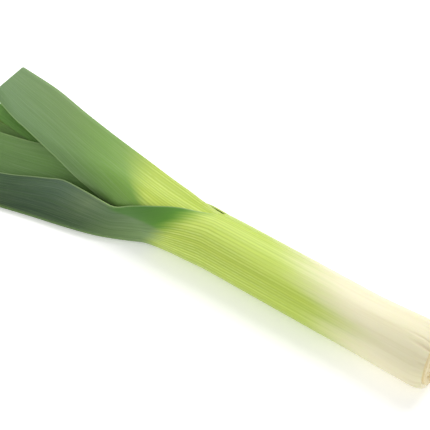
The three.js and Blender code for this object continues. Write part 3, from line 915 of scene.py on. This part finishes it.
def fleshMaterial(name):
    # the cut or thin edge of a leaf: moist pale tissue, cream at the root and green along the blade
    material, tree, shader = startMaterial("cut_flesh_" + name)
    throat = leaves[name]["throat"]
    grain = addNode(tree, "Attribute", {"attribute_name": "grain"}, "Vector")
    along = addNode(tree, "SeparateXYZ", {0: grain}, "Z")
    share = addNode(tree, "Math", {"operation": 'DIVIDE', 0: along, 1: leek["trim"]})
    base = addNode(tree, "ValToRGB", {0: share})
    root, shaft, green = skinTones["rootFlesh"], skinTones["throatFlesh"], skins[name]["rim"]
    rootEnd, shaftStart, shaftEnd, greenStart = skinBlend["fleshRun"]
    fillRamp(base, (
        (rootEnd, root), (shaftStart, shaft), (throat + shaftEnd, shaft), (throat + greenStart, green)),
        leek["trim"])
    speck = addNode(tree, "TexNoise", {
        "Vector": grain, "Scale": 1 / skinBlend["speckSize"], "Detail": 3.0})
    color = layMark(tree, base, speck, skinMarks["fleshSpeck"], skinTones["fleshSpeck"])
    setNode(shader, {
        "Base Color": color, "Roughness": skinWax["fleshRoughness"],
        "Subsurface Weight": skinWax["fleshGlow"], **skinWax["glow"]})
    return material


rings = sheathRings()
for number, name in enumerate(leaves):
    buildLeaf(name, rings[name], leek["seed"] + number, [
        leafMaterial(name, rings[name], False), fleshMaterial(name), leafMaterial(name, rings[name], True)])

# The stem's short disc, its cut face rough, with the cropped roots standing on it
plate = {
    "radius": 16, "thickness": 4.4, "edge": 0.5, "edgeSteps": 4, "sides": 96, "smoothBelow": 40,
    "rings": (14.4, 13.2, 11.9, 10.6, 9.3, 8, 6.7, 5.4, 4.1, 2.8, 1.5),  # radii of the loops on its face
    "lumpHeight": 0.3, "lumps": 300, "smallLumps": 900, "smallShare": 0.4,  # lumps to a metre
    "faceDepth": 0.1,       # only the face within this of the cut is rough
    "stubs": 64, "innerRing": 3.6, "outerRing": 13.6, "scatter": 0.8, "seed": 7,
    "stubRadius": (0.4, 0.9), "stubLength": (0.3, 1.3), "sunk": 1.2, "stubSides": 12,
    "stubSteps": ((0.28, 0.12), (0.35, -0.15)),     # inset and rise of a stub's rim, then of its hollow
    "cork": "F0E5C0", "corkDark": "E4D2A2", "fibre": "CBB17A", "fibreMark": (0.5, 0.8, 0.5, 'LINEAR'),
    "gritSize": 1.4, "cloudSize": 6.7, "gritStrength": 0.5, "gritDepth": 0.3, "roughness": 0.75,
}


def plateMaterial():
    # dry, matt, pale ochre cork with slightly darker fibre ends
    material, tree, shader = startMaterial("corky_root_plate")
    coord = addNode(tree, "TexCoord", {}, "Object")
    grit = addNode(tree, "TexNoise", {
        "Vector": coord, "Scale": 1 / (plate["gritSize"] * mm), "Detail": 5.0})
    cloud = addNode(tree, "TexNoise", {
        "Vector": coord, "Scale": 1 / (plate["cloudSize"] * mm), "Detail": 3.0})
    color = addNode(tree, "Mix", {
        "data_type": 'RGBA', 0: cloud, 6: plate["cork"], 7: plate["corkDark"]}, 2)
    color = layMark(tree, color, grit, plate["fibreMark"], plate["fibre"])
    bump = addNode(tree, "Bump", {
        "Height": grit, "Strength": plate["gritStrength"], "Distance": plate["gritDepth"] * mm})
    setNode(shader, {"Base Color": color, "Roughness": plate["roughness"], "Normal": bump})
    return material


def selectCap(piece):
    # the largest face that looks out of the root, alone
    selectNone('FACE')
    faces = [face for face in piece.data.polygons if face.normal.x > 0.9]
    max(faces, key=lambda face: face.area).select = True
    bpy.ops.object.mode_set(mode='EDIT')


def buildDisc(centre):
    bpy.ops.object.select_all(action='DESELECT')
    bpy.ops.mesh.primitive_cylinder_add(
        vertices=plate["sides"], radius=plate["radius"] * mm, depth=plate["thickness"] * mm,
        location=centre - Vector((plate["thickness"] * mm / 2, 0, 0)), rotation=(0, math.pi / 2, 0))
    disc = bpy.context.object
    bpy.ops.object.transform_apply(location=True, rotation=True, scale=True)
    selectCap(disc)
    bpy.ops.mesh.bevel(offset=plate["edge"] * mm, segments=plate["edgeSteps"], affect='EDGES')
    radius = plate["radius"] - plate["edge"]
    for ring in plate["rings"]:
        bpy.ops.object.mode_set(mode='OBJECT')
        selectCap(disc)
        bpy.ops.mesh.inset(thickness=(radius - ring) * mm)
        radius = ring
    bpy.ops.object.mode_set(mode='OBJECT')
    for vertex in disc.data.vertices:
        if vertex.co.x > centre.x - plate["faceDepth"] * mm:
            small = plate["smallShare"] * noise.noise(vertex.co * plate["smallLumps"])
            vertex.co.x += plate["lumpHeight"] * mm * (noise.noise(vertex.co * plate["lumps"]) + small)
    return disc


def buildStub():
    # one cropped root, its cut end a little hollow
    bpy.ops.object.select_all(action='DESELECT')
    bpy.ops.mesh.primitive_cylinder_add(
        vertices=plate["stubSides"], radius=mm, depth=mm, rotation=(0, math.pi / 2, 0))
    stub = bpy.context.object
    bpy.ops.object.transform_apply(location=False, rotation=True, scale=False)
    selectCap(stub)
    for inset, rise in plate["stubSteps"]:
        bpy.ops.mesh.inset(thickness=inset * mm)
        bpy.ops.transform.translate(value=(rise * mm, 0, 0))
    bpy.ops.object.mode_set(mode='OBJECT')
    return stub


def seededDraws(seed):
    # even draws from 0 to 1, the same ones at each run
    factor, step, size = 1664525, 1013904223, 2 ** 32
    state = seed
    while True:
        state = (state * factor + step) % size
        yield state / size


def scatterStubs(centre, stub):
    # copies of the stub on a spiral, each with its own length, width and turn
    draws = seededDraws(plate["seed"])

    def between(low, high):
        return low + (high - low) * next(draws)

    goldenTurn = math.pi * (3 - math.sqrt(5))
    inner, outer = plate["innerRing"] ** 2, plate["outerRing"] ** 2
    copies = []
    for i in range(plate["stubs"]):
        ring = math.sqrt(inner + (outer - inner) * (i + 0.5) / plate["stubs"])
        ring += between(-plate["scatter"], plate["scatter"] / 2)
        turn = i * goldenTurn + between(-plate["scatter"], plate["scatter"]) / ring
        length = between(*plate["stubLength"])
        width = between(*plate["stubRadius"])
        full = length + plate["sunk"]
        copy = stub.copy()
        copy.data = stub.data.copy()
        bpy.context.collection.objects.link(copy)
        away = Vector((length - full / 2, ring * math.cos(turn), ring * math.sin(turn)))
        copy.location = centre + away * mm
        copy.rotation_euler = (between(0, math.pi), 0, 0)
        copy.scale = (full, width, width)
        copies.append(copy)
    return copies


def buildPlate():
    # it carries the leaves from the second one in, so it is centred on that one's ring
    centre = Vector(place(0, rings["leaf_2"][1], 0)) * mm
    disc = buildDisc(centre)
    stub = buildStub()
    copies = scatterStubs(centre, stub)
    bpy.data.objects.remove(stub)
    bpy.ops.object.select_all(action='DESELECT')
    for piece in copies + [disc]:
        piece.select_set(True)
    bpy.context.view_layer.objects.active = disc
    bpy.ops.object.join()
    disc.name = "basal_plate_skin"
    # the whole plate leans with the slanting cut
    toward = math.radians(leek["slantToward"])
    for vertex in disc.data.vertices:
        away = vertex.co - centre
        vertex.co.x += leek["slantSlope"] * (away.y * math.cos(toward) + away.z * math.sin(toward))
    bpy.ops.object.shade_smooth_by_angle(angle=math.radians(plate["smoothBelow"]))
    disc.data.materials.clear()
    disc.data.materials.append(plateMaterial())
    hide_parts("basal_plate")
    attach(disc, "root")
    print(disc.name, "faces", len(disc.data.polygons))


buildPlate()
